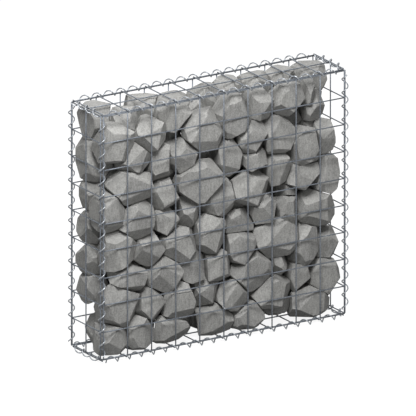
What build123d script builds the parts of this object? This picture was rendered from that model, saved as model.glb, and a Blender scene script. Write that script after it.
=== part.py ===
from build123d import *
import math
import os
import random

# Gabion wall: a tall, narrow basket of welded wire mesh, laced along its twelve edges
# with spiral wire and filled with broken stone. X runs along the wall, Y through it
# and Z up. The front looks towards -Y.

os.makedirs("parts", exist_ok=True)

# Sizes of the mesh panels
cell = 100.0  # spacing of the mesh wires along and up the wall
cells_long = 10
cells_high = 9
cell_deep = 97.5  # spacing of the wires through the wall
cells_deep = 2
mesh_wire = 4.5
weld_bite = 1.4  # how deep the corners of crossing bars are pressed into one another
bar_overrun = 0.3  # how far a bar runs past the edge wire it is welded to
panel_gap = 7.6  # from an edge of the box out to the panel beside it

# Sizes of the spiral lacing
spiral_wire = 3.0
spiral_radius = 11.6  # of the wire's centre line
turns_per_cell = 2
steps_per_turn = 8  # straight steps that each turn is bent from
seat = 0.3  # clearance between a spiral and the two edge wires inside it
end_trim = 10.0  # each spiral stops this short of the corner nodes

# Sizes of the stone fill
joint = 0.6  # clearance between neighbouring stones
facets_per_stone = 9

length = cells_long * cell
height = cells_high * cell
depth = cells_deep * cell_deep
mesh_corner = mesh_wire * math.sqrt(math.pi / 8)  # of a square as heavy as the round wire
weld_offset = 2 * mesh_corner - weld_bite  # between the two layers of bars in one panel
inner_gap = panel_gap - weld_offset  # from an edge of the box out to the inner layer
spiral_corner = spiral_wire / 2 * 1.4  # from the spiral wire's centre to its corners
pitch = cell / turns_per_cell


def bar(start, end, weld_side):
    """A four-sided bar from start to end, with a corner turned to weld_side."""
    path = Vector(*end) - Vector(*start)
    section = Plane(origin=start, x_dir=weld_side, z_dir=path)
    return extrude(section * RegularPolygon(mesh_corner, 4), amount=path.length)


def mesh_panel(place, across, step_across, up, step_up):
    """A flat welded panel, its outer bars upright and its inner bars across."""
    width = across * step_across
    tall = up * step_up
    bars = []
    for i in range(across + 1):
        u = i * step_across - width / 2
        bars.append(bar((u, -bar_overrun, 0), (u, tall + bar_overrun, 0), (0, 0, 1)))
    reach = width / 2 + bar_overrun
    for j in range(up + 1):
        v = j * step_up
        bars.append(bar((-reach, v, -weld_offset), (reach, v, -weld_offset), (0, 0, 1)))
    return place * bars[0].fuse(*bars[1:])


def panels():
    front_y = depth / 2 + panel_gap
    end_x = length / 2 + panel_gap
    upright = (cells_high, cell)
    made = {}
    made["panel_front"] = mesh_panel(
        Plane(origin=(0, -front_y, 0), x_dir=(1, 0, 0), z_dir=(0, -1, 0)),
        cells_long, cell, *upright,
    )
    made["panel_back"] = mesh_panel(
        Plane(origin=(0, front_y, 0), x_dir=(-1, 0, 0), z_dir=(0, 1, 0)),
        cells_long, cell, *upright,
    )
    made["panel_left_end"] = mesh_panel(
        Plane(origin=(-end_x, 0, 0), x_dir=(0, -1, 0), z_dir=(-1, 0, 0)),
        cells_deep, cell_deep, *upright,
    )
    made["panel_right_end"] = mesh_panel(
        Plane(origin=(end_x, 0, 0), x_dir=(0, 1, 0), z_dir=(1, 0, 0)),
        cells_deep, cell_deep, *upright,
    )
    made["panel_lid"] = mesh_panel(
        Plane(origin=(0, -depth / 2, height + panel_gap), x_dir=(1, 0, 0), z_dir=(0, 0, 1)),
        cells_long, cell, cells_deep, cell_deep,
    )
    made["panel_base"] = mesh_panel(
        Plane(origin=(0, depth / 2, -panel_gap), x_dir=(1, 0, 0), z_dir=(0, 0, -1)),
        cells_long, cell, cells_deep, cell_deep,
    )
    return made


def spiral_axis(wire_a, wire_b):
    """The centre of a coil that seats both edge wires against its inside.

    wire_a and wire_b are points in the plane across the edge, measured so that both
    coordinates grow outwards.
    """
    inside = spiral_radius * math.cos(math.pi / steps_per_turn) - spiral_corner
    to_wire = inside - seat - mesh_corner
    half = math.dist(wire_a, wire_b) / 2
    out = (abs(wire_a[1] - wire_b[1]) / (2 * half), abs(wire_a[0] - wire_b[0]) / (2 * half))
    rise = math.sqrt(to_wire**2 - half**2)
    middle = ((wire_a[0] + wire_b[0]) / 2, (wire_a[1] + wire_b[1]) / 2)
    return (middle[0] + out[0] * rise, middle[1] + out[1] * rise)


def spiral(corner, along, zero, run, node_angle):
    """A right-handed coil of wire along an edge of the basket that is run long.

    corner is the coil's middle, level with the middle of the edge. The angle is counted
    from the direction zero, and node_angle is where the wire passes that level.
    """
    across = Vector(*along).cross(Vector(*zero))
    steps = int(steps_per_turn * (run - 2 * end_trim) / pitch)
    points = []
    for k in range(steps + 1):
        far = (k - steps / 2) * pitch / steps_per_turn
        turn = math.radians(node_angle + 360 * far / pitch)
        reach = Vector(*zero) * math.cos(turn) + across * math.sin(turn)
        points.append(Vector(*corner) + Vector(*along) * far + reach * spiral_radius)
    path = Polyline(*points)
    section = Plane(origin=path @ 0, z_dir=path % 0) * RegularPolygon(spiral_corner, 3)
    return sweep(section, path=path, transition=Transition.RIGHT)


# Where each coil's wire passes the middle of its edge, in degrees: counted from +X towards
# +Y on upright edges, from +Y towards +Z on long ones and from +Z towards +X on short ones.
# Each keeps the wire clear of the mesh wires that cross the coil.
upright_turns = {"front_left": 168, "front_right": 17, "back_left": 60, "back_right": 30}
long_turns = {"base_front": 192, "base_back": 287, "lid_front": 137, "lid_back": 75}
short_turns = {"base_left": 205, "base_right": 115, "lid_left": 350, "lid_right": 42}


def spirals():
    """One coil along each of the twelve edges, named by the panels that it joins."""
    made = {}
    sides = {"left": -1, "right": 1, "front": -1, "back": 1, "base": -1, "lid": 1}
    levels = {"base": 0, "lid": height}
    half_turn_per_cell = 180 * cells_high * turns_per_cell
    out = spiral_axis((0, panel_gap), (panel_gap, 0))
    for name, angle in upright_turns.items():
        sy, sx = (sides[word] for word in name.split("_"))
        corner = (sx * (length / 2 + out[0]), sy * (depth / 2 + out[1]), height / 2)
        angle = angle + half_turn_per_cell
        made[f"spiral_{name}"] = spiral(corner, (0, 0, 1), (1, 0, 0), height, angle)
    out = spiral_axis((inner_gap, 0), (0, inner_gap))
    for name, angle in long_turns.items():
        level, face = name.split("_")
        z = levels[level] + sides[level] * out[1]
        corner = (0, sides[face] * (depth / 2 + out[0]), z)
        made[f"spiral_{name}"] = spiral(corner, (1, 0, 0), (0, 1, 0), length, angle)
    out = spiral_axis((inner_gap, 0), (0, panel_gap))
    for name, angle in short_turns.items():
        level, side = name.split("_")
        z = levels[level] + sides[level] * out[1]
        corner = (sides[side] * (length / 2 + out[0]), 0, z)
        made[f"spiral_{name}_end"] = spiral(corner, (0, 1, 0), (0, 0, 1), depth, angle)
    return made


# Stones of the front layer: middle along the wall, middle height, width, height, and how
# far the stone is set back from the front of its layer.
front_stones = [
    (-420, 775, 125, 140, 0), (-360, 835, 85, 95, 40), (-280, 785, 115, 120, 5), (-170, 840, 115, 125, 20),
    (-60, 765, 135, 140, 0), (65, 795, 115, 150, 5), (175, 820, 85, 115, 5), (290, 820, 115, 115, 0),
    (385, 825, 30, 115, 20), (415, 770, 65, 110, 35), (140, 705, 100, 125, 0), (255, 690, 105, 135, 5),
    (50, 645, 85, 145, 15), (155, 620, 80, 75, 5), (-130, 680, 105, 115, 20), (-340, 710, 115, 110, 10),
    (-230, 670, 80, 125, 20), (-75, 580, 170, 135, 0), (-360, 605, 170, 115, 0), (-210, 550, 95, 100, 20),
    (-455, 525, 130, 135, 5), (-340, 475, 140, 120, 0), (-205, 445, 80, 95, 20), (-105, 460, 65, 115, 30),
    (15, 500, 120, 155, 20), (130, 515, 140, 115, 0), (255, 570, 85, 120, 15), (360, 635, 110, 140, 5),
    (455, 650, 65, 120, 20), (355, 525, 115, 105, 10), (460, 510, 85, 150, 15), (315, 470, 65, 60, 45),
    (195, 430, 95, 105, 5), (300, 400, 75, 110, 20), (410, 395, 135, 125, 0), (100, 385, 105, 110, 30),
    (-35, 380, 105, 135, 0), (-160, 355, 130, 120, 5), (-285, 360, 120, 110, 10), (-410, 380, 120, 130, 0),
    (95, 305, 105, 130, 0), (245, 315, 175, 140, 5), (360, 265, 85, 170, 10), (460, 245, 100, 115, 25),
    (-365, 265, 140, 90, 0), (-220, 260, 130, 120, 0), (-105, 265, 120, 125, 25), (0, 250, 90, 110, 0),
    (140, 210, 155, 130, 5), (260, 210, 55, 75, 15), (350, 160, 90, 115, 25), (445, 140, 110, 155, 10),
    (-405, 175, 140, 165, 0), (-275, 155, 105, 120, 15), (-165, 150, 125, 130, 0), (-35, 165, 95, 115, 30),
    (55, 130, 110, 110, 0), (225, 120, 160, 105, 5), (260, 60, 125, 70, 40), (380, 50, 150, 115, 0),
    (-435, 55, 115, 115, 5), (-330, 55, 105, 135, 0), (-200, 50, 140, 100, 15), (-5, 55, 135, 110, 10),
    (120, 40, 120, 105, 5),
]

# Stones of the back layer that show past the front ones, measured the same way: those at
# the left end, and the top row. The rest of the back repeats the front.
back_left_stones = [
    (-440, 840, 110, 130, 0), (-450, 695, 125, 150, 5), (-445, 565, 90, 110, 5),
    (-440, 450, 105, 120, 0), (-445, 325, 115, 115, 0), (-445, 225, 115, 105, 0),
]
back_top_stones = [
    (-250, 855, 120, 85, 0), (-120, 835, 120, 85, 0), (10, 845, 110, 85, 0),
    (110, 860, 105, 95, 0), (215, 855, 120, 85, 0), (315, 865, 100, 85, 0),
    (450, 845, 140, 105, 0),
]
left_end_edge = -390  # repeated stones further left than this give way to those above
top_edge = 800  # and so do those higher than this
drawn_cell = 100.0  # the cell size that these places and sizes are drawn at
drawn_cell_deep = 97.5
courses = 9
stone_reach = 1.13  # how far a stone would reach past its size if no neighbour cut it
layer_depth = 109.0  # of one layer before the layers are pressed together


def cut(block, normal, limit):
    """The part of a convex block that lies below limit along normal.

    A block is a list of faces, and each face is a list of corner points.
    """
    kept = []
    rim = []
    for face in block:
        corners = []
        for a, b in zip(face, face[1:] + face[:1]):
            above_a = a.dot(normal) - limit
            above_b = b.dot(normal) - limit
            if above_a <= 0:
                corners.append(a)
            if above_a * above_b < 0:
                point = a + (b - a) * (above_a / (above_a - above_b))
                corners.append(point)
                rim.append(point)
        if len(corners) > 2:
            kept.append(corners)
    if not rim:
        return kept
    middle = sum(rim, Vector(0, 0, 0)) / len(rim)
    x_dir = (rim[0] - middle).normalized()
    y_dir = normal.cross(x_dir)
    rim.sort(key=lambda p: math.atan2((p - middle).dot(y_dir), (p - middle).dot(x_dir)))
    lid = [p for p, q in zip(rim, rim[1:] + rim[:1]) if (p - q).length > 1e-6]
    return kept + [lid]


def spread_directions(count, rng):
    """Directions spread evenly over a ball and turned at random."""
    turn = rng.uniform(0, 360)
    tip = rng.uniform(0, 180)
    golden = 180 * (3 - math.sqrt(5))
    for i in range(count):
        z = 1 - (2 * i + 1) / count
        flat = math.sqrt(1 - z * z)
        around = math.radians(golden * i + turn)
        v = Vector(flat * math.cos(around), flat * math.sin(around), z)
        yield v.rotate(Axis.X, tip).rotate(Axis.Z, turn)


def reach_of(stone, direction):
    """How far the stone's ellipsoid reaches from its middle along direction."""
    half = stone["half"]
    return math.hypot(*(h * d for h, d in zip(half, direction)))


def list_stones():
    """Every stone's middle, half sizes, layer and course, from the front to the back."""
    rng = random.Random(7)
    scale = cell / drawn_cell
    scale_deep = cell_deep / drawn_cell_deep
    repeated = []
    for x, z, w, h, set_back in front_stones:
        if -x > left_end_edge and z < top_edge:
            repeated.append((-x, z, w, h, set_back))
    back = back_left_stones + back_top_stones + repeated
    stones = []
    for layer, side, rows in (("front", -1, front_stones), ("back", 1, back)):
        for x, z, w, h, set_back in rows:
            y = side * (drawn_cell_deep / 2 - set_back + rng.uniform(-2, 2))
            half = (w / 2 * stone_reach, layer_depth / 2, h / 2 * stone_reach)
            stones.append({
                "name": f"stones_{layer}_{min(int(z / 100), courses - 1) + 1}",
                "middle": Vector(x * scale, y * scale_deep, z * scale),
                "half": (half[0] * scale, half[1] * scale_deep, half[2] * scale),
            })
    return stones


def box_faces(low, high):
    """The six faces of a box between two corners."""
    xs, ys, zs = zip(low, high)
    faces = []
    for i in range(2):
        faces.append([Vector(xs[i], ys[a], zs[b]) for a, b in ((0, 0), (1, 0), (1, 1), (0, 1))])
        faces.append([Vector(xs[a], ys[i], zs[b]) for a, b in ((0, 0), (1, 0), (1, 1), (0, 1))])
        faces.append([Vector(xs[a], ys[b], zs[i]) for a, b in ((0, 0), (1, 0), (1, 1), (0, 1))])
    return faces


def cage_cuts():
    """The planes that keep a stone clear of the mesh and of the spirals along the edges."""
    near = mesh_corner + seat
    x = length / 2 + inner_gap - near
    y = depth / 2 + inner_gap - near
    z_low = -inner_gap + near
    z_high = height + inner_gap - near
    cuts = [((1, 0, 0), x), ((-1, 0, 0), x), ((0, 1, 0), y), ((0, -1, 0), y)]
    cuts += [((0, 0, 1), z_high), ((0, 0, -1), -z_low)]
    clear = spiral_radius + spiral_wire
    s = math.sqrt(0.5)
    corner = spiral_axis((0, panel_gap), (panel_gap, 0))
    for sx in (-1, 1):
        for sy in (-1, 1):
            limit = s * (length / 2 + corner[0] + depth / 2 + corner[1]) - clear
            cuts.append(((s * sx, s * sy, 0), limit))
    corner = spiral_axis((inner_gap, 0), (0, inner_gap))
    for sy in (-1, 1):
        limit = s * (depth / 2 + corner[0] + corner[1]) - clear
        cuts.append(((0, s * sy, s), limit + s * height))
        cuts.append(((0, s * sy, -s), limit))
    corner = spiral_axis((inner_gap, 0), (0, panel_gap))
    for sx in (-1, 1):
        limit = s * (length / 2 + corner[0] + corner[1]) - clear
        cuts.append(((s * sx, 0, s), limit + s * height))
        cuts.append(((s * sx, 0, -s), limit))
    return [(Vector(*normal), limit) for normal, limit in cuts]


def stone_block(stone, stones, cage, rng):
    """One stone: a faceted lump, cut flat against its neighbours and the cage."""
    middle = stone["middle"]
    half = Vector(*stone["half"])
    block = box_faces(middle - half, middle + half)
    for direction in spread_directions(facets_per_stone, rng):
        limit = middle.dot(direction) + reach_of(stone, direction) * rng.uniform(0.85, 0.99)
        block = cut(block, direction, limit)
    for other in stones:
        apart = other["middle"] - middle
        if other is stone or apart.length > 3 * cell:
            continue
        direction = apart.normalized()
        mine = reach_of(stone, direction)
        theirs = reach_of(other, direction)
        share = apart.length * mine / (mine + theirs) - joint / 2
        block = cut(block, direction, middle.dot(direction) + share)
    for normal, limit in cage:
        block = cut(block, normal, limit)
    return block


def solid_of(block):
    faces = [Face(Wire.make_polygon(corners, close=True)) for corners in block]
    return Solid(Shell(faces))


def stone_courses():
    """The stones, grouped by layer and by height."""
    stones = list_stones()
    cage = cage_cuts()
    groups = {}
    for number, stone in enumerate(stones):
        block = stone_block(stone, stones, cage, random.Random(number))
        groups.setdefault(stone["name"], []).append(solid_of(block))
    return {name: Compound(solids) for name, solids in groups.items()}


nodes = {**panels(), **spirals(), **stone_courses()}
lift = -min(shape.bounding_box().min.Z for shape in nodes.values())
for name, shape in nodes.items():
    export_step(Pos(0, 0, lift) * shape, f"parts/{name}.step")
print(len(nodes), "nodes, lifted by", round(lift, 3))
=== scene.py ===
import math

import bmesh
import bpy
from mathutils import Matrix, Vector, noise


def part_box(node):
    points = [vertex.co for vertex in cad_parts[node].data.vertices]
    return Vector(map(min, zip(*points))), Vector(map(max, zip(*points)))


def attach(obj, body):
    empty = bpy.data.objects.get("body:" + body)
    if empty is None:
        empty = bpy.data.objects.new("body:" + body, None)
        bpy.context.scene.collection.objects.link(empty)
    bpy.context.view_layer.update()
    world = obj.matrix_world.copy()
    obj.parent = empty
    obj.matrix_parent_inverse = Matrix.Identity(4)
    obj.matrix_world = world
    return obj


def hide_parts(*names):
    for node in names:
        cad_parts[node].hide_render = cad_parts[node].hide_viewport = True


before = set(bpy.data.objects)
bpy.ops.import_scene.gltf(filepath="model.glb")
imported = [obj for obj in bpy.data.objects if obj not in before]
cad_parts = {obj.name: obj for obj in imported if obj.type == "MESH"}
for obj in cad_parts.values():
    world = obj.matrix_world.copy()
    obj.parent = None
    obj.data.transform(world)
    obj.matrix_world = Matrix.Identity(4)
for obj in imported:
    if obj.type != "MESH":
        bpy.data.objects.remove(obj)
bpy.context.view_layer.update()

# %% [markdown]
# # A gabion wall: a wire basket full of broken stone
# The frame just loaded holds the basket's bars, coils and stones as plain solids, at
# their real size. This lesson dresses them: round galvanised wire in place of the
# four-sided bars, smooth coils in place of the stepped ones, and weathered faces on
# the stones. First it notes the size of the plain model.

# %% [markdown]
# The basket is a box of welded mesh. All of its sizes could be typed in again here,
# but then a wire might miss its solid. So only the mesh squares are typed in, and the
# planes of the wires are read off the frame. Each panel is a grid whose outer wires
# lie in one plane and its inner wires in the next, pressed together at the welds.

# %% Sizes of the basket, in metres
CELL = 0.1
CELL_DEEP = 0.0975  # the squares through the wall are a little narrower
CELLS_LONG, CELLS_HIGH, CELLS_DEEP = 10, 9, 2
BAR_CORNER = 0.00282  # from the middle line of a plain bar to its corners
front_low, front_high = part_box("panel_front")
end_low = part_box("panel_left_end")[0]
lid_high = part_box("panel_lid")[1]
base_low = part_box("panel_base")[0]
node_low = (front_low.z + front_high.z) / 2 - CELL * CELLS_HIGH / 2  # the lowest level wires
node_high = node_low + CELL * CELLS_HIGH
half_long = CELL * CELLS_LONG / 2
half_deep = CELL_DEEP * CELLS_DEEP / 2
front_plane = -front_low.y - BAR_CORNER  # the outer wires of the front, from the middle
end_plane = -end_low.x - BAR_CORNER
lid_plane = lid_high.z - BAR_CORNER
base_plane = base_low.z + BAR_CORNER
print("mesh from", round(node_low, 4), "to", round(node_high, 4))
print("front plane", round(front_plane, 4), "end plane", round(end_plane, 4))

# %% [markdown]
# ## Materials
# A material is a small tree of nodes that ends in one shader. Most finishes start the
# same way, with noise that is turned into a colour, a roughness or a height. Writing
# those steps once, as helpers, keeps each finish down to what is special about it.

# %% Helpers for a material's nodes
def new_material(name):
    material = bpy.data.materials.new(name)
    material.use_nodes = True
    nodes = material.node_tree.nodes
    links = material.node_tree.links
    shader = nodes["Principled BSDF"]
    place = nodes.new("ShaderNodeTexCoord").outputs["Object"]
    return material, nodes, links, shader, place


def add_noise(nodes, links, place, scale, detail, roughness=0.55):
    texture = nodes.new("ShaderNodeTexNoise")
    texture.inputs["Scale"].default_value = scale
    texture.inputs["Detail"].default_value = detail
    texture.inputs["Roughness"].default_value = roughness
    links.new(place, texture.inputs["Vector"])
    return texture.outputs["Fac"]


def add_ramp(nodes, links, source, stops):
    """A colour ramp whose stops are (position, linear colour)."""
    ramp = nodes.new("ShaderNodeValToRGB")
    elements = ramp.color_ramp.elements
    while len(elements) < len(stops):
        elements.new(0.5)
    for element, (position, colour) in zip(elements, stops):
        element.position = position
        element.color = (*colour, 1.0)
    links.new(source, ramp.inputs["Fac"])
    return ramp.outputs["Color"]


def add_range(nodes, links, source, low, high):
    """source, from 0 to 1, carried over to low to high."""
    spread = nodes.new("ShaderNodeMapRange")
    spread.inputs["To Min"].default_value = low
    spread.inputs["To Max"].default_value = high
    links.new(source, spread.inputs["Value"])
    return spread.outputs["Result"]


def add_bump(nodes, links, height, strength, distance, under=None):
    """A bump of this height in metres, on top of the bump under it, if any."""
    bump = nodes.new("ShaderNodeBump")
    bump.inputs["Strength"].default_value = strength
    bump.inputs["Distance"].default_value = distance
    links.new(height, bump.inputs["Height"])
    if under is not None:
        links.new(under, bump.inputs["Normal"])
    return bump.outputs["Normal"]


# %% [markdown]
# Galvanised wire is grey with a faint blue cast. Hot zinc sets in small crystals, so
# its tone and gloss change from patch to patch, and fine dirt dulls it. An image could
# show that, but every wire would have to be unwrapped for it. Noise on Object
# coordinates needs no unwrapping and has no seams. In the photograph the coils are
# brighter and glossier than the mesh.

# %% Galvanised wire
CRYSTALS = 180.0  # noise scales, in waves to the metre
GRIME = 40.0
ZINC_SKIN = 900.0
ZINC_SKIN_DEPTH = 0.0002


def galvanised(name, dark, light, metallic, dullest):
    """Zinc between two tones, as metallic and at most as rough as given."""
    material, nodes, links, shader, place = new_material(name)
    crystals = add_noise(nodes, links, place, CRYSTALS, detail=3.0)
    grime = add_noise(nodes, links, place, GRIME, detail=5.0)
    skin = add_noise(nodes, links, place, ZINC_SKIN, detail=2.0)
    colour = add_ramp(nodes, links, crystals, [(0.3, dark), (0.7, light)])
    roughness = add_range(nodes, links, grime, dullest / 2, dullest)
    bump = add_bump(nodes, links, skin, strength=0.25, distance=ZINC_SKIN_DEPTH)
    links.new(colour, shader.inputs["Base Color"])
    links.new(roughness, shader.inputs["Roughness"])
    links.new(bump, shader.inputs["Normal"])
    shader.inputs["Metallic"].default_value = metallic
    return material


MESH_ZINC = galvanised(
    "mesh_zinc", dark=(0.1, 0.112, 0.13), light=(0.2, 0.22, 0.25), metallic=0.4, dullest=0.64,
)
COIL_ZINC = galvanised(
    "coil_zinc", dark=(0.18, 0.195, 0.215), light=(0.38, 0.4, 0.425), metallic=0.45, dullest=0.4,
)
print("zinc of the mesh and of the coils:", MESH_ZINC.name, COIL_ZINC.name)

# %% [markdown]
# The stones are a neutral grey. Each face carries cloudy changes of tone, a coarse
# grain and fine streaks, as stone that split along its bedding has. The grain and the
# streaks are height as well as tone, so they catch the light. One stone's streaks run
# another way than its neighbour's. That could be a material for each stone, but
# Random Per Island does it in one: it is the same number all over a loose piece of a
# mesh, and another number on the next piece.

# %% Streaks that turn from stone to stone
STREAKS = 150.0  # noise scale, in waves to the metre
DRAWN_OUT = (1.0, 1.0, 0.2)  # a streak is five times as long as it is wide
MOST_TILT, MOST_TURN = 11.0, 29.0  # radians: several turns, so that like numbers differ


def add_streaks(nodes, links, place, each):
    """Noise drawn out along a direction of each stone's own."""
    turn = nodes.new("ShaderNodeCombineXYZ")
    links.new(add_range(nodes, links, each, 0.0, MOST_TILT), turn.inputs["X"])
    links.new(add_range(nodes, links, each, 0.0, MOST_TURN), turn.inputs["Y"])
    mapping = nodes.new("ShaderNodeMapping")
    mapping.inputs["Scale"].default_value = DRAWN_OUT
    links.new(turn.outputs["Vector"], mapping.inputs["Rotation"])
    links.new(place, mapping.inputs["Vector"])
    return add_noise(nodes, links, mapping.outputs["Vector"], STREAKS, detail=5.0, roughness=0.7)


# %% Painted light on what faces up
# A paler tone mixed into up-facing skin, as painted light from above.
TOP_LIGHT_TONE = (0.5, 0.497, 0.483)
MOST_TOP_LIGHT = 0.15
TOP_LIGHT_STARTS, TOP_LIGHT_FULL = 0.15, 0.95  # how far the skin faces up, where 1 is level


def painted_top_light(nodes, links, colour, normal):
    """The colour, paled a little where the skin faces up: painted light from above."""
    upward = nodes.new("ShaderNodeSeparateXYZ")
    links.new(normal, upward.inputs["Vector"])
    top_lit = nodes.new("ShaderNodeMapRange")
    top_lit.inputs["From Min"].default_value = TOP_LIGHT_STARTS
    top_lit.inputs["From Max"].default_value = TOP_LIGHT_FULL
    top_lit.inputs["To Max"].default_value = MOST_TOP_LIGHT
    links.new(upward.outputs["Z"], top_lit.inputs["Value"])
    # Mix towards the pale tone: painted light on up-facing skin.
    top_light = nodes.new("ShaderNodeMix")
    top_light.data_type = "RGBA"
    top_light.inputs["B"].default_value = (*TOP_LIGHT_TONE, 1)
    links.new(top_lit.outputs["Result"], top_light.inputs["Factor"])
    links.new(colour, top_light.inputs["A"])
    return top_light.outputs["Result"]


# %% Broken stone
CLOUDS = 11.0  # noise scales, in waves to the metre
GRAIN = 190.0
GRAIN_DEPTH = 0.0016
STREAK_DEPTH = 0.0012
CLOUD_TONES = [(0.3, (0.38, 0.378, 0.366)), (0.7, (0.53, 0.527, 0.512))]
OWN_TONES = [(0.0, (0.86, 0.86, 0.86)), (1.0, (1.06, 1.06, 1.05))]
GRAIN_TONES = [(0.36, (0.5, 0.5, 0.5)), (0.64, (1.0, 1.0, 1.0))]
STREAK_TONES = [(0.38, (0.72, 0.72, 0.72)), (0.62, (1.0, 1.0, 1.0))]


def multiply(nodes, links, first, second, factor):
    mix = nodes.new("ShaderNodeMix")
    mix.data_type = "RGBA"
    mix.blend_type = "MULTIPLY"
    mix.inputs["Factor"].default_value = factor
    links.new(first, mix.inputs["A"])
    links.new(second, mix.inputs["B"])
    return mix.outputs["Result"]


def broken_stone():
    material, nodes, links, shader, place = new_material("broken_stone")
    skin = nodes.new("ShaderNodeNewGeometry")
    each = skin.outputs["Random Per Island"]
    clouds = add_noise(nodes, links, place, CLOUDS, detail=4.0, roughness=0.6)
    grain = add_noise(nodes, links, place, GRAIN, detail=6.0, roughness=0.75)
    streaks = add_streaks(nodes, links, place, each)
    colour = add_ramp(nodes, links, clouds, CLOUD_TONES)
    colour = multiply(nodes, links, colour, add_ramp(nodes, links, each, OWN_TONES), 1.0)
    colour = multiply(nodes, links, colour, add_ramp(nodes, links, grain, GRAIN_TONES), 0.8)
    colour = multiply(nodes, links, colour, add_ramp(nodes, links, streaks, STREAK_TONES), 0.8)
    # Up-facing skin is paled here: painted light from above.
    colour = painted_top_light(nodes, links, colour, skin.outputs["Normal"])
    roughness = add_range(nodes, links, clouds, 0.8, 0.95)
    scratched = add_bump(nodes, links, streaks, strength=0.5, distance=STREAK_DEPTH)
    grained = add_bump(nodes, links, grain, 0.7, GRAIN_DEPTH, under=scratched)
    links.new(colour, shader.inputs["Base Color"])
    links.new(roughness, shader.inputs["Roughness"])
    links.new(grained, shader.inputs["Normal"])
    shader.inputs["Specular IOR Level"].default_value = 0.2
    return material


STONE = broken_stone()
print("stone of", len(STONE.node_tree.nodes), "nodes")

# %% [markdown]
# ## Wires of the mesh panels
# A welded panel is two sets of straight wires laid across one another. Array modifiers
# could make each set, but a Geometry Nodes tree says it in a few named sizes: a line
# of points, a cylinder on each, and the result made real. Six panels then take twelve
# runs of one tree.

# %% The ends that all trees share
def new_tree(name, inputs):
    """A tree with these (name, kind) inputs and a Geometry output."""
    tree = bpy.data.node_groups.new(name, "GeometryNodeTree")
    for label, kind in inputs:
        tree.interface.new_socket(label, in_out="INPUT", socket_type=kind)
    tree.interface.new_socket("Geometry", in_out="OUTPUT", socket_type="NodeSocketGeometry")
    source = tree.nodes.new("NodeGroupInput")
    target = tree.nodes.new("NodeGroupOutput")
    return tree, source, target


def end_tree(tree, source, target, geometry):
    """Make the instances real, give them the material in Zinc and send them out."""
    link = tree.links.new
    real = tree.nodes.new("GeometryNodeRealizeInstances")
    link(geometry, real.inputs["Geometry"])
    paint = tree.nodes.new("GeometryNodeSetMaterial")
    link(source.outputs["Zinc"], paint.inputs["Material"])
    link(real.outputs["Geometry"], paint.inputs["Geometry"])
    link(paint.outputs["Geometry"], target.inputs["Geometry"])


# %% A tree that lays out one set of wires
WIRE_SIDES = 14
WIRE_LENGTHS = 8  # into which each wire is divided


def wire_row_tree():
    tree, source, target = new_tree("wire_row", [
        ("Count", "NodeSocketInt"),
        ("Spacing", "NodeSocketVector"),
        ("First", "NodeSocketVector"),
        ("Turn", "NodeSocketVector"),
        ("Length", "NodeSocketFloat"),
        ("Radius", "NodeSocketFloat"),
        ("Zinc", "NodeSocketMaterial"),
    ])
    link = tree.links.new
    row = tree.nodes.new("GeometryNodeMeshLine")
    row.mode = "OFFSET"
    link(source.outputs["Count"], row.inputs["Count"])
    link(source.outputs["Spacing"], row.inputs["Offset"])
    link(source.outputs["First"], row.inputs["Start Location"])
    wire = tree.nodes.new("GeometryNodeMeshCylinder")
    wire.inputs["Vertices"].default_value = WIRE_SIDES
    wire.inputs["Side Segments"].default_value = WIRE_LENGTHS
    link(source.outputs["Radius"], wire.inputs["Radius"])
    link(source.outputs["Length"], wire.inputs["Depth"])
    turn = tree.nodes.new("FunctionNodeEulerToRotation")
    link(source.outputs["Turn"], turn.inputs["Euler"])
    place = tree.nodes.new("GeometryNodeInstanceOnPoints")
    link(row.outputs["Mesh"], place.inputs["Points"])
    link(wire.outputs["Mesh"], place.inputs["Instance"])
    link(turn.outputs["Rotation"], place.inputs["Rotation"])
    end_tree(tree, source, target, place.outputs["Instances"])
    return tree


WIRE_ROW = wire_row_tree()
print("tree", WIRE_ROW.name, "of", len(WIRE_ROW.nodes), "nodes")

# %% [markdown]
# A tree only shows its result while its modifier lives. The first helper below sets
# the named inputs by their identifiers, takes the result as a plain mesh and removes
# the modifier again, so that the export finds ordinary geometry. The others join
# meshes into one object and tell the frame which solid it stands in for.

# %% Run a tree, keep its mesh and make a piece of it
def grow(tree, values):
    """The mesh that a tree makes with these named inputs."""
    holder = bpy.data.objects.new("holder", bpy.data.meshes.new("holder"))
    bpy.context.collection.objects.link(holder)
    modifier = holder.modifiers.new("tree", "NODES")
    modifier.node_group = tree
    for item in tree.interface.items_tree:
        if item.in_out == "INPUT" and item.name in values:
            modifier[item.identifier] = values[item.name]
    bpy.context.view_layer.update()
    graph = bpy.context.evaluated_depsgraph_get()
    mesh = bpy.data.meshes.new_from_object(holder.evaluated_get(graph))
    holder.modifiers.remove(modifier)
    bpy.data.objects.remove(holder)
    return mesh


def joined(name, meshes, material):
    """One object made of several meshes, all of one material."""
    work = bmesh.new()
    for mesh in meshes:
        work.from_mesh(mesh)
    bmesh.ops.recalc_face_normals(work, faces=work.faces)
    mesh = bpy.data.meshes.new(name)
    work.to_mesh(mesh)
    work.free()
    mesh.materials.clear()
    mesh.materials.append(material)
    for polygon in mesh.polygons:
        polygon.material_index = 0
    piece = bpy.data.objects.new(name, mesh)
    bpy.context.collection.objects.link(piece)
    return piece


def round_sides(piece):
    """Shade the four-sided faces along a wire smooth, and its cut ends flat."""
    for polygon in piece.data.polygons:
        polygon.use_smooth = len(polygon.vertices) == 4


def finish_piece(piece, node):
    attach(piece, "root")
    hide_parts(node)


# %% [markdown]
# On the front, the back and the ends, the upright wires are outside and the level ones
# inside. On the lid and the base, the wires across the wall are outside. Each set runs
# a little past the edge wire that it is welded to. Panels that face each other are the
# same, so one function makes both, with side as -1 or 1.

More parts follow.
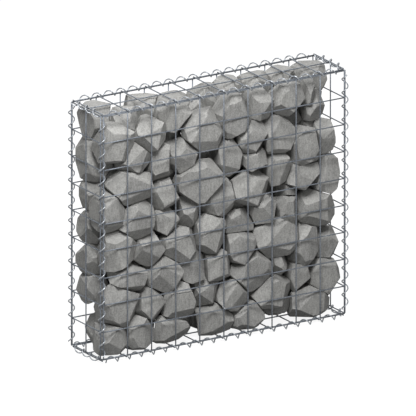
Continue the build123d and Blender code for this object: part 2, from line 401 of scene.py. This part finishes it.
# %% The six panels
MESH_RADIUS = 0.00225
WELD_OFFSET = 0.00424  # between the middle lines of a panel's two sets of wire
OVERRUN = 0.0015
QUARTER = math.pi / 2
ALONG_X = (0.0, QUARTER, 0.0)
ALONG_Y = (QUARTER, 0.0, 0.0)
ALONG_Z = (0.0, 0.0, 0.0)
tall = CELL * CELLS_HIGH + 2 * OVERRUN
long = CELL * CELLS_LONG + 2 * OVERRUN
deep = 2 * half_deep + 2 * OVERRUN
mid_z = (node_low + node_high) / 2


def wires(count, spacing, first, turn, run):
    """One set of wires, each run long, with their middles spaced out from first."""
    return grow(WIRE_ROW, {
        "Count": count, "Spacing": spacing, "First": first, "Turn": turn,
        "Length": run, "Radius": MESH_RADIUS, "Zinc": MESH_ZINC,
    })


def side_panel(side):
    """The two sets of wires of the front, at -1, or the back, at 1."""
    y = side * front_plane
    inner = side * (front_plane - WELD_OFFSET)
    return [
        wires(CELLS_LONG + 1, (CELL, 0, 0), (-half_long, y, mid_z), ALONG_Z, tall),
        wires(CELLS_HIGH + 1, (0, 0, CELL), (0, inner, node_low), ALONG_X, long),
    ]


def end_panel(side):
    """The two sets of wires of the left end, at -1, or the right end, at 1."""
    x = side * end_plane
    inner = side * (end_plane - WELD_OFFSET)
    return [
        wires(CELLS_DEEP + 1, (0, CELL_DEEP, 0), (x, -half_deep, mid_z), ALONG_Z, tall),
        wires(CELLS_HIGH + 1, (0, 0, CELL), (inner, 0, node_low), ALONG_Y, deep),
    ]


def flat_panel(level, side):
    """The two sets of wires of the base, at -1, or the lid, at 1, with the outer at level."""
    inner = level - side * WELD_OFFSET
    return [
        wires(CELLS_LONG + 1, (CELL, 0, 0), (-half_long, 0, level), ALONG_Y, deep),
        wires(CELLS_DEEP + 1, (0, CELL_DEEP, 0), (0, -half_deep, inner), ALONG_X, long),
    ]


panel_parts = {
    "panel_front": side_panel(-1),
    "panel_back": side_panel(1),
    "panel_left_end": end_panel(-1),
    "panel_right_end": end_panel(1),
    "panel_lid": flat_panel(lid_plane, 1),
    "panel_base": flat_panel(base_plane, -1),
}
for node, parts in panel_parts.items():
    panel = joined(node + "_wires", parts, MESH_ZINC)
    round_sides(panel)
    finish_piece(panel, node)
    print(node, len(panel.data.polygons), "faces")

# %% [markdown]
# ## Coils along the edges
# Each edge is laced with a spiral of thinner wire that winds twice for every mesh
# square. A Screw modifier could wind a circle up into one, but it keeps the circle
# upright, which squeezes the wire. The tree below draws a spiral curve and sweeps a
# circle along it, which keeps the wire round at any pitch.

# %% A tree that winds one coil
COIL_WIRE_SIDES = 8


def coil_tree():
    tree, source, target = new_tree("coil", [
        ("Turns", "NodeSocketFloat"),
        ("Run", "NodeSocketFloat"),
        ("Coil Radius", "NodeSocketFloat"),
        ("Wire Radius", "NodeSocketFloat"),
        ("Steps", "NodeSocketInt"),  # of one turn
        ("Zinc", "NodeSocketMaterial"),
    ])
    link = tree.links.new
    spiral = tree.nodes.new("GeometryNodeCurveSpiral")
    link(source.outputs["Steps"], spiral.inputs["Resolution"])
    link(source.outputs["Turns"], spiral.inputs["Rotations"])
    link(source.outputs["Coil Radius"], spiral.inputs["Start Radius"])
    link(source.outputs["Coil Radius"], spiral.inputs["End Radius"])
    link(source.outputs["Run"], spiral.inputs["Height"])
    spiral.inputs["Reverse"].default_value = True  # right-handed
    circle = tree.nodes.new("GeometryNodeCurvePrimitiveCircle")
    circle.inputs["Resolution"].default_value = COIL_WIRE_SIDES
    link(source.outputs["Wire Radius"], circle.inputs["Radius"])
    sweep = tree.nodes.new("GeometryNodeCurveToMesh")
    sweep.inputs["Fill Caps"].default_value = True
    link(spiral.outputs["Curve"], sweep.inputs["Curve"])
    link(circle.outputs["Curve"], sweep.inputs["Profile Curve"])
    end_tree(tree, source, target, sweep.outputs["Mesh"])
    return tree


COIL = coil_tree()
print("tree", COIL.name, "of", len(COIL.nodes), "nodes")

# %% [markdown]
# Lacing wire is wound right-handed, like a common screw. A coil stands on the middle
# line of its solid, so it holds the same two edge wires. Its angle, measured at the
# middle of the edge, is the solid's own, so its loops pass between the cross wires.

# %% The twelve coils
COIL_WIRE_RADIUS = 0.0023
COIL_RADIUS = 0.0106
COILS_PER_CELL = 2
PITCH = CELL / COILS_PER_CELL
STEPS_PER_TURN = 24
HALF_TURN = 180
TURNED_BY_MIDDLE = HALF_TURN * CELLS_HIGH * COILS_PER_CELL  # degrees, from the lowest wire up
X_AXIS, Y_AXIS, Z_AXIS = 0, 1, 2
COIL_TURNS = {
    "spiral_front_left": (Z_AXIS, 168 + TURNED_BY_MIDDLE),
    "spiral_front_right": (Z_AXIS, 17 + TURNED_BY_MIDDLE),
    "spiral_back_left": (Z_AXIS, 60 + TURNED_BY_MIDDLE),
    "spiral_back_right": (Z_AXIS, 30 + TURNED_BY_MIDDLE),
    "spiral_base_front": (X_AXIS, 192),
    "spiral_base_back": (X_AXIS, 287),
    "spiral_lid_front": (X_AXIS, 137),
    "spiral_lid_back": (X_AXIS, 75),
    "spiral_base_left_end": (Y_AXIS, 205),
    "spiral_base_right_end": (Y_AXIS, 115),
    "spiral_lid_left_end": (Y_AXIS, 350),
    "spiral_lid_right_end": (Y_AXIS, 42),
}


def coil_piece(node, axis, angle):
    """Dress a node's coil, which passes the middle of its edge at this angle."""
    low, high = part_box(node)
    middle = (low + high) / 2
    run = high[axis] - low[axis] - 2 * COIL_WIRE_RADIUS
    turns = run / PITCH
    mesh = grow(COIL, {
        "Turns": turns, "Run": run, "Coil Radius": COIL_RADIUS,
        "Wire Radius": COIL_WIRE_RADIUS, "Steps": STEPS_PER_TURN,
        "Zinc": COIL_ZINC,
    })
    piece = joined(node + "_coil", [mesh], COIL_ZINC)
    turn = math.radians(angle) - math.pi * turns
    cos, sin = math.cos(turn), math.sin(turn)
    across, onward = (axis + 1) % 3, (axis + 2) % 3
    for vertex in piece.data.vertices:
        x, y, z = vertex.co
        place = [0.0, 0.0, 0.0]
        place[axis] = middle[axis] - run / 2 + z
        place[across] = middle[across] + cos * x - sin * y
        place[onward] = middle[onward] + sin * x + cos * y
        vertex.co = place
    piece.data.update()
    round_sides(piece)
    finish_piece(piece, node)
    print(node, round(turns, 2), "turns,", len(piece.data.polygons), "faces")


for node, (axis, angle) in COIL_TURNS.items():
    coil_piece(node, axis, angle)

# %% [markdown]
# ## Stones
# The frame's stones are flat-sided blocks. Real broken stone has lost its longest
# corners, has worn edges, and its faces are a little hollow or swollen. A Displace
# modifier would only roughen the blocks, and might push one stone into the next. So
# corners are struck off each block, its edges are beveled, its faces are cut into
# small ones, and every point is moved inwards by smooth noise.

# %% Strike off the corners of a block
SHARPEST = 1.38  # a corner may stand this far out, where 1 is the block's own half size
STRUCK = 1.2  # and a struck one is cut this far out
MOST_STRUCK = 5


def strike_corners(block):
    """Cut the corners of a convex bmesh that stand out furthest, one flat face each."""
    for _ in range(MOST_STRUCK):
        spots = [v.co for v in block.verts]
        low = Vector([min(p[i] for p in spots) for i in range(3)])
        high = Vector([max(p[i] for p in spots) for i in range(3)])
        middle, half = (low + high) / 2, (high - low) / 2
        out = [Vector([(p[i] - middle[i]) / half[i] for i in range(3)]) for p in spots]
        far = max(out, key=lambda q: q.length)
        if far.length < SHARPEST:
            return
        flat = Vector([far[i] / half[i] for i in range(3)])
        cut_at = middle + Vector([far[i] * half[i] for i in range(3)]) * (STRUCK / far.length)
        everything = block.verts[:] + block.edges[:] + block.faces[:]
        cut = bmesh.ops.bisect_plane(
            block, geom=everything, plane_co=cut_at, plane_no=flat, clear_outer=True, dist=1e-6,
        )
        rim = [item for item in cut["geom_cut"] if isinstance(item, bmesh.types.BMEdge)]
        bmesh.ops.contextual_create(block, geom=rim)


# %% [markdown]
# A node of the frame holds a whole group of stones in one mesh. Each stone is wrapped
# in its convex hull, which gives clean faces in place of the loose triangles that the
# frame comes with, and loses nothing, because no stone has a hollow. The stones are
# always taken in the same order, so each keeps its own tone from run to run.

# %% Take a group of stones apart
def separate_blocks(work):
    """Each loose block of a bmesh, as a bmesh of its own, in the order of its vertices."""
    found = set()
    for start in work.verts:
        if start in found:
            continue
        found.add(start)
        island = [start]
        for vert in island:  # the list grows as its neighbours are found
            for edge in vert.link_edges:
                neighbour = edge.other_vert(vert)
                if neighbour not in found:
                    found.add(neighbour)
                    island.append(neighbour)
        block = bmesh.new()
        for vert in island:
            block.verts.new(vert.co)
        hull = bmesh.ops.convex_hull(block, input=block.verts)
        loose = [v for v in hull["geom_interior"] if isinstance(v, bmesh.types.BMVert)]
        bmesh.ops.delete(block, geom=loose, context="VERTS")
        yield block


# %% Weather one block
EDGE_WEAR = 0.0018
CRUMB = 0.0004  # corners closer than this become one
SAME_POINT = 1e-5
FINE_EDGE = 0.009
MOST_HALVINGS = 5
FLAT = math.radians(1)
SWELL = 0.0013  # how deep the skin is worn by waves of three lengths, in metres
PITS = 0.0004
GRIT = 0.0002
SWELL_SCALE, PIT_SCALE, GRIT_SCALE = 26.0, 85.0, 260.0
NOISE_SHIFT = Vector((0.629, 0.333, 0.851))


def weathered(point):
    """How far a point of a stone's skin is worn away, in metres."""
    place = point + NOISE_SHIFT
    swell = noise.noise(place * SWELL_SCALE)
    pit = noise.noise(place * PIT_SCALE)
    grit = noise.noise(place * GRIT_SCALE)
    return SWELL * (swell + 1) / 2 + PITS * (pit + 1) + GRIT * grit


print("wear at the middle of the frame, mm:", round(1000 * weathered(Vector()), 2))


def dress(block):
    """Strike, bevel, divide and weather one block in place."""
    bmesh.ops.dissolve_limit(block, angle_limit=FLAT, verts=block.verts, edges=block.edges)
    strike_corners(block)
    bmesh.ops.remove_doubles(block, verts=block.verts, dist=CRUMB)
    bmesh.ops.bevel(
        block, geom=list(block.edges), offset=EDGE_WEAR, offset_type="OFFSET",
        segments=1, affect="EDGES", clamp_overlap=True,
    )
    bmesh.ops.remove_doubles(block, verts=block.verts, dist=SAME_POINT)
    bmesh.ops.dissolve_degenerate(block, edges=block.edges, dist=SAME_POINT)
    bmesh.ops.triangulate(block, faces=block.faces)
    for _ in range(MOST_HALVINGS):
        wide = [e for e in block.edges if e.calc_length() > FINE_EDGE]
        if not wide:
            break
        bmesh.ops.subdivide_edges(
            block, edges=wide, cuts=1, use_grid_fill=True, use_single_edge=True,
        )
        bmesh.ops.triangulate(block, faces=[f for f in block.faces if len(f.verts) > 3])
    bmesh.ops.recalc_face_normals(block, faces=block.faces)
    block.normal_update()
    moved = [(v, v.normal * weathered(v.co)) for v in block.verts]
    for vert, inward in moved:
        vert.co -= inward


def dressed_mesh(block):
    """Dress a block and keep it as a mesh."""
    dress(block)
    mesh = bpy.data.meshes.new("stone")
    block.to_mesh(mesh)
    block.free()
    return mesh


# %% [markdown]
# Whoever fills a basket jams small stones into the gaps between the big ones. These
# sit between the two layers, where a gap would otherwise run right through the wall.
# A ball with few faces, pulled out of shape by noise, is enough of a stone once it is
# dressed like the others.

# %% Small stones between the layers
# Each is placed along the wall and up it, and has a half size, in metres.
WEDGED = {
    "stones_front_8": [(-0.221, 0.775, 0.03)],
    "stones_front_7": [(0.412, 0.692, 0.034)],
    "stones_front_6": [(0.465, 0.45, 0.028)],
    "stones_front_5": [(0.440, 0.437, 0.03)],
    "stones_front_4": [(0.465, 0.315, 0.028), (0.430, 0.32, 0.028)],
}
LUMPS = 0.25
LUMP_SCALE = 30
LUMP_SHIFT = 50  # sets the noise of one small stone apart from the next one's


def wedged_stone(x, height, size):
    """A small stone jammed between the two layers, at a height above the lowest mesh wire."""
    block = bmesh.new()
    bmesh.ops.create_icosphere(block, subdivisions=1, radius=size)
    shift = Vector((x, height, size)) * LUMP_SHIFT
    for vert in block.verts:
        vert.co *= 1 + LUMPS * noise.noise(vert.co * LUMP_SCALE + shift)
        vert.co += Vector((x, 0, node_low + height))
    return dressed_mesh(block)


print("small stones:", sum(len(places) for places in WEDGED.values()))

# %% All the stones, group by group
SHARP = math.radians(12)


def dressed_stones(node):
    """Dress a node's stones and say how many triangles they took."""
    source = bmesh.new()
    source.from_mesh(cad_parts[node].data)
    bmesh.ops.remove_doubles(source, verts=source.verts, dist=SAME_POINT)
    stones = [dressed_mesh(block) for block in separate_blocks(source)]
    source.free()
    stones += [wedged_stone(*place) for place in WEDGED.get(node, [])]
    piece = joined(node + "_dressed", stones, STONE)
    piece.data.shade_smooth()
    piece.data.set_sharp_from_angle(angle=SHARP)
    finish_piece(piece, node)
    print(node, len(stones), "stones,", len(piece.data.polygons), "triangles")
    return len(piece.data.polygons)


stone_nodes = sorted(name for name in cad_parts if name.startswith("stones_"))
print("stones in all:", sum(dressed_stones(node) for node in stone_nodes), "triangles")

# %% [markdown]
# ## Camera, floor and light
# The photograph is a parallel view from the left, a little above, so the camera is
# orthographic. One square of the mesh gives its scale. Its distance changes nothing in
# such a view, as long as the wall is in front of it.

# %% Camera
PICTURE_WIDTH = 416  # pixels
PIXELS_PER_METRE = 283.3
VIEW_TURN = math.radians(-31.79)
VIEW_RISE = math.radians(18.05)
AIM_ALONG = -0.0008
AIM_HEIGHT = 0.4487  # above the lowest mesh wire
CAMERA_DISTANCE = 4.0
aim = Vector((AIM_ALONG, 0.0, node_low + AIM_HEIGHT))
lens = bpy.data.cameras.new("camera")
lens.type = "ORTHO"
lens.ortho_scale = PICTURE_WIDTH / PIXELS_PER_METRE
camera = bpy.data.objects.new("camera", lens)
bpy.context.collection.objects.link(camera)
back = Vector((
    math.sin(VIEW_TURN) * math.cos(VIEW_RISE),
    -math.cos(VIEW_TURN) * math.cos(VIEW_RISE),
    math.sin(VIEW_RISE),
))
camera.location = aim + back * CAMERA_DISTANCE
camera.rotation_euler = back.to_track_quat("Z", "Y").to_euler()
bpy.context.scene.camera = camera
print("picture", round(lens.ortho_scale, 3), "m wide")

# %% [markdown]
# The wall stands on a plain pale floor under an even sky. A white floor would throw
# light up into the stones, which are darker below in the photograph. So the floor is
# grey to the light that bounces off it, and glows white only where the camera, or a
# mirror, looks straight at it. The sky does the same.

# %% Floor
FLOOR_HALF = 6
BOUNCING_TONE, SEEN_TONE = 0.25, 0.22
FLOOR_GLOW = 0.9


def seen(nodes, links):
    """1 for what the camera, or a mirror or glass, sees directly, and 0 for other light."""
    path = nodes.new("ShaderNodeLightPath")
    value = path.outputs["Is Camera Ray"]
    for ray in ("Is Glossy Ray", "Is Transmission Ray"):
        either = nodes.new("ShaderNodeMath")
        either.operation = "MAXIMUM"
        links.new(value, either.inputs[0])
        links.new(path.outputs[ray], either.inputs[1])
        value = either.outputs["Value"]
    return value


def floor_material():
    material = bpy.data.materials.new("floor_paint")
    material.use_nodes = True
    nodes, links = material.node_tree.nodes, material.node_tree.links
    shader = nodes["Principled BSDF"]
    shader.inputs["Roughness"].default_value = 0.9
    shader.inputs["Specular IOR Level"].default_value = 0.0
    shader.inputs["Emission Color"].default_value = (1, 1, 1, 1)
    by_camera = seen(nodes, links)
    tone = nodes.new("ShaderNodeMix")
    tone.data_type = "RGBA"
    tone.inputs["A"].default_value = (BOUNCING_TONE, BOUNCING_TONE, BOUNCING_TONE, 1)
    tone.inputs["B"].default_value = (SEEN_TONE, SEEN_TONE, SEEN_TONE, 1)
    links.new(by_camera, tone.inputs["Factor"])
    links.new(tone.outputs["Result"], shader.inputs["Base Color"])
    glow = add_range(nodes, links, by_camera, 0.0, FLOOR_GLOW)
    links.new(glow, shader.inputs["Emission Strength"])
    return material


floor_mesh = bpy.data.meshes.new("floor")
corners = ((-1, -1), (1, -1), (1, 1), (-1, 1))
floor_corners = [(x * FLOOR_HALF, y * FLOOR_HALF, 0) for x, y in corners]
floor_mesh.from_pydata(floor_corners, [], [(0, 1, 2, 3)])
floor_mesh.materials.append(floor_material())
floor = bpy.data.objects.new("floor", floor_mesh)
bpy.context.collection.objects.link(floor)
print("floor", 2 * FLOOR_HALF, "m wide")

# %% [markdown]
# One broad lamp above and to the left of the front makes the soft shadows between the
# stones. It could be a sun, but the photograph is lighter at the top and the left,
# and a lamp that is near enough gives that fall of light by itself. A weak, very soft
# sun from behind keeps the back from going black.

# %% Lamps
KEY_FROM = Vector((-0.47, -0.68, 1.0)).normalized()
KEY_DISTANCE = 3.4
KEY_WIDTH = 1.35
KEY_POWER = 124.0  # watts
FILL_FROM = Vector((0.5, 0.9, 0.8))
FILL_STRENGTH = 1.3
FILL_SPREAD = math.radians(60)


def hang_lamp(lamp, source):
    """An object that holds the lamp, which shines from the direction source."""
    holder = bpy.data.objects.new(lamp.name, lamp)
    bpy.context.collection.objects.link(holder)
    holder.rotation_euler = source.to_track_quat("Z", "Y").to_euler()
    return holder


key = bpy.data.lights.new("key", "AREA")
key.shape = "DISK"
key.size = KEY_WIDTH
key.energy = KEY_POWER
hang_lamp(key, KEY_FROM).location = aim + KEY_FROM * KEY_DISTANCE

fill = bpy.data.lights.new("fill", "SUN")
fill.energy = FILL_STRENGTH
fill.angle = FILL_SPREAD
hang_lamp(fill, FILL_FROM)
print("lamps:", key.name, KEY_POWER, "W and", fill.name, FILL_STRENGTH, "W to the square metre")

# %% Sky
LIGHTING_SKY, SEEN_SKY = 0.3, 1.0
world = bpy.data.worlds.new("studio")
world.use_nodes = True
bpy.context.scene.world = world
sky_nodes, sky_links = world.node_tree.nodes, world.node_tree.links
sky = sky_nodes["Background"]
sky.inputs["Color"].default_value = (1, 1, 1, 1)
sky_light = add_range(sky_nodes, sky_links, seen(sky_nodes, sky_links), LIGHTING_SKY, SEEN_SKY)
sky_links.new(sky_light, sky.inputs["Strength"])
bpy.context.scene.view_settings.view_transform = "Standard"
print("sky", LIGHTING_SKY, "to the wall and", SEEN_SKY, "to the camera")
